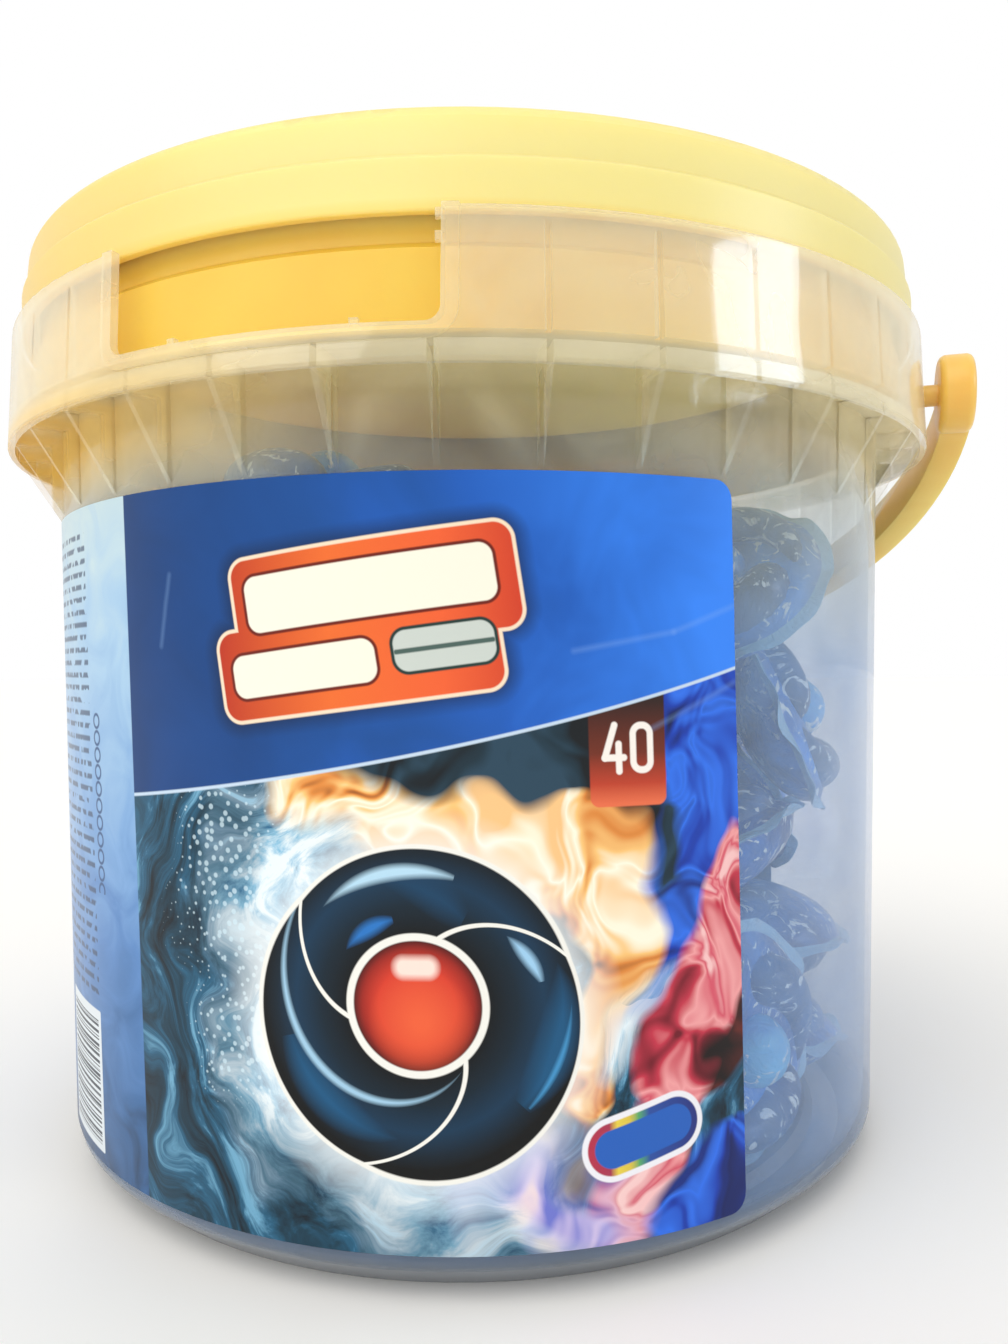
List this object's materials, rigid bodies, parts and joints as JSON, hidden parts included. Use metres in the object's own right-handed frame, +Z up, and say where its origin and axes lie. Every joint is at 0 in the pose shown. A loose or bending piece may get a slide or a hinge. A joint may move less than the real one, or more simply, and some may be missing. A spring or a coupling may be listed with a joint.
{
  "type": "laundry pod tub",
  "caption": "Round translucent plastic pail of laundry pods with a snap lid in a tamper-evident collar, a bail handle and a wrap label.",
  "frame": {"origin": "centre of the foot ring's underside, on the pail's axis", "axes": "+Z up along the pail's axis; -Y towards the torn tamper window; X along the handle's pivot axis"},
  "size_m": [0.2074, 0.1902, 0.1712],
  "materials": {
    "clear_pail": "translucent moulded polypropylene",
    "yellow_lid": "satin moulded polypropylene",
    "yellow_handle": "satin moulded polypropylene",
    "printed_film": "gloss printed film",
    "pod_film": "clear water-soluble film over blue liquid"
  },
  "bodies": {
    "tub": {"tub": "clear_pail", "label": "printed_film", "pod_01": "pod_film", "pod_02": "pod_film", "pod_03": "pod_film", "pod_04": "pod_film", "pod_05": "pod_film", "pod_06": "pod_film", "pod_07": "pod_film", "pod_08": "pod_film", "pod_09": "pod_film", "pod_10": "pod_film", "pod_11": "pod_film", "pod_12": "pod_film", "pod_13": "pod_film", "pod_14": "pod_film", "pod_15": "pod_film", "pod_16": "pod_film", "pod_17": "pod_film", "pod_18": "pod_film", "pod_19": "pod_film", "pod_20": "pod_film", "pod_21": "pod_film", "pod_22": "pod_film", "pod_23": "pod_film", "pod_24": "pod_film", "pod_25": "pod_film", "pod_26": "pod_film", "pod_27": "pod_film", "pod_28": "pod_film", "pod_29": "pod_film", "pod_30": "pod_film", "pod_31": "pod_film", "pod_32": "pod_film", "pod_33": "pod_film", "pod_34": "pod_film", "pod_35": "pod_film", "pod_36": "pod_film", "pod_37": "pod_film", "pod_38": "pod_film", "pod_39": "pod_film", "pod_40": "pod_film"},
    "lid": {"lid": "yellow_lid"},
    "handle": {"handle": "yellow_handle"}
  },
  "joints": [
    {"name": "lid_lift", "type": "slide", "parent": "tub", "child": "lid", "axis": [0, 0, 1], "range_m": [0, 0.06]},
    {"name": "handle_swing", "type": "hinge", "parent": "tub", "child": "handle", "pos_m": [0, 0, 0.1464], "axis": [1, 0, 0], "range_deg": [0, 233.2]}
  ]
}
